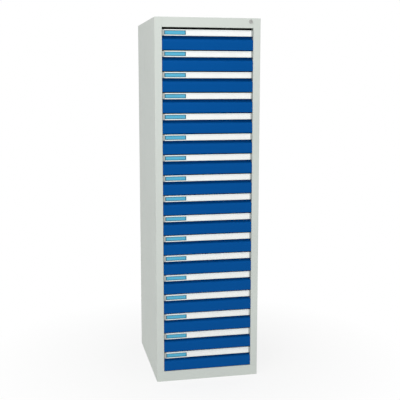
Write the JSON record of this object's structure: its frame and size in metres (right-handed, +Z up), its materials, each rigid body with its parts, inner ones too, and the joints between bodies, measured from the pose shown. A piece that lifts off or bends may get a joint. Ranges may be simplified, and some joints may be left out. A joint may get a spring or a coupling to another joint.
{
  "type": "drawer cabinet",
  "caption": "Tall sheet-steel cabinet with a full stack of equal shallow drawers, label-strip handles, a plinth base and a central lock that bars every drawer.",
  "frame": {"origin": "middle of the foot print, on the floor", "axes": "+X along the width, to the right seen from the front; +Y to the back; +Z up"},
  "size_m": [0.52, 0.6, 1.8],
  "materials": {
    "grey_paint": "light grey powder coat, fine texture",
    "blue_paint": "blue powder coat, satin",
    "tray_paint": "light grey powder coat",
    "white_strip": "white moulded plastic with grey end caps",
    "zinc_steel": "zinc-plated steel",
    "lock_nickel": "nickel-plated lock"
  },
  "bodies": {
    "case": {"left_side_panel": "grey_paint", "right_side_panel": "grey_paint", "back_panel": "grey_paint", "top_panel": "grey_paint", "base_plinth": "grey_paint", "runner_frame": "zinc_steel", "lock_housing": "lock_nickel"},
    "lock_plug": {"lock_plug": "lock_nickel"},
    "lock_bar": {"lock_bar": "zinc_steel"},
    "drawer_01": {"drawer_front_01": "blue_paint", "drawer_tray_01": "tray_paint", "handle_strip_01": "white_strip"},
    "drawer_02": {"drawer_front_02": "blue_paint", "drawer_tray_02": "tray_paint", "handle_strip_02": "white_strip"},
    "drawer_03": {"drawer_front_03": "blue_paint", "drawer_tray_03": "tray_paint", "handle_strip_03": "white_strip"},
    "drawer_04": {"drawer_front_04": "blue_paint", "drawer_tray_04": "tray_paint", "handle_strip_04": "white_strip"},
    "drawer_05": {"drawer_front_05": "blue_paint", "drawer_tray_05": "tray_paint", "handle_strip_05": "white_strip"},
    "drawer_06": {"drawer_front_06": "blue_paint", "drawer_tray_06": "tray_paint", "handle_strip_06": "white_strip"},
    "drawer_07": {"drawer_front_07": "blue_paint", "drawer_tray_07": "tray_paint", "handle_strip_07": "white_strip"},
    "drawer_08": {"drawer_front_08": "blue_paint", "drawer_tray_08": "tray_paint", "handle_strip_08": "white_strip"},
    "drawer_09": {"drawer_front_09": "blue_paint", "drawer_tray_09": "tray_paint", "handle_strip_09": "white_strip"},
    "drawer_10": {"drawer_front_10": "blue_paint", "drawer_tray_10": "tray_paint", "handle_strip_10": "white_strip"},
    "drawer_11": {"drawer_front_11": "blue_paint", "drawer_tray_11": "tray_paint", "handle_strip_11": "white_strip"},
    "drawer_12": {"drawer_front_12": "blue_paint", "drawer_tray_12": "tray_paint", "handle_strip_12": "white_strip"},
    "drawer_13": {"drawer_front_13": "blue_paint", "drawer_tray_13": "tray_paint", "handle_strip_13": "white_strip"},
    "drawer_14": {"drawer_front_14": "blue_paint", "drawer_tray_14": "tray_paint", "handle_strip_14": "white_strip"},
    "drawer_15": {"drawer_front_15": "blue_paint", "drawer_tray_15": "tray_paint", "handle_strip_15": "white_strip"},
    "drawer_16": {"drawer_front_16": "blue_paint", "drawer_tray_16": "tray_paint", "handle_strip_16": "white_strip"},
    "drawer_17": {"drawer_front_17": "blue_paint", "drawer_tray_17": "tray_paint", "handle_strip_17": "white_strip"}
  },
  "joints": [
    {"name": "drawer_01_slide", "type": "slide", "parent": "case", "child": "drawer_01", "axis": [0, -1, 0], "range_m": [0, 0.42]},
    {"name": "drawer_02_slide", "type": "slide", "parent": "case", "child": "drawer_02", "axis": [0, -1, 0], "range_m": [0, 0.42]},
    {"name": "drawer_03_slide", "type": "slide", "parent": "case", "child": "drawer_03", "axis": [0, -1, 0], "range_m": [0, 0.42]},
    {"name": "drawer_04_slide", "type": "slide", "parent": "case", "child": "drawer_04", "axis": [0, -1, 0], "range_m": [0, 0.42]},
    {"name": "drawer_05_slide", "type": "slide", "parent": "case", "child": "drawer_05", "axis": [0, -1, 0], "range_m": [0, 0.42]},
    {"name": "drawer_06_slide", "type": "slide", "parent": "case", "child": "drawer_06", "axis": [0, -1, 0], "range_m": [0, 0.42]},
    {"name": "drawer_07_slide", "type": "slide", "parent": "case", "child": "drawer_07", "axis": [0, -1, 0], "range_m": [0, 0.42]},
    {"name": "drawer_08_slide", "type": "slide", "parent": "case", "child": "drawer_08", "axis": [0, -1, 0], "range_m": [0, 0.42]},
    {"name": "drawer_09_slide", "type": "slide", "parent": "case", "child": "drawer_09", "axis": [0, -1, 0], "range_m": [0, 0.42]},
    {"name": "drawer_10_slide", "type": "slide", "parent": "case", "child": "drawer_10", "axis": [0, -1, 0], "range_m": [0, 0.42]},
    {"name": "drawer_11_slide", "type": "slide", "parent": "case", "child": "drawer_11", "axis": [0, -1, 0], "range_m": [0, 0.42]},
    {"name": "drawer_12_slide", "type": "slide", "parent": "case", "child": "drawer_12", "axis": [0, -1, 0], "range_m": [0, 0.42]},
    {"name": "drawer_13_slide", "type": "slide", "parent": "case", "child": "drawer_13", "axis": [0, -1, 0], "range_m": [0, 0.42]},
    {"name": "drawer_14_slide", "type": "slide", "parent": "case", "child": "drawer_14", "axis": [0, -1, 0], "range_m": [0, 0.42]},
    {"name": "drawer_15_slide", "type": "slide", "parent": "case", "child": "drawer_15", "axis": [0, -1, 0], "range_m": [0, 0.42]},
    {"name": "drawer_16_slide", "type": "slide", "parent": "case", "child": "drawer_16", "axis": [0, -1, 0], "range_m": [0, 0.42]},
    {"name": "drawer_17_slide", "type": "slide", "parent": "case", "child": "drawer_17", "axis": [0, -1, 0], "range_m": [0, 0.42]},
    {"name": "lock_turn", "type": "hinge", "parent": "case", "child": "lock_plug", "pos_m": [0.211, -0.2975, 1.783], "axis": [0, -1, 0], "range_deg": [0, 90]},
    {"name": "lock_bar_lift", "type": "slide", "parent": "case", "child": "lock_bar", "axis": [0, 0, 1], "range_m": [0, 0.0113]}
  ],
  "couplings": [
    {"joint": "lock_turn", "follows": "lock_bar_lift", "rad_per_m": 138.84}
  ]
}
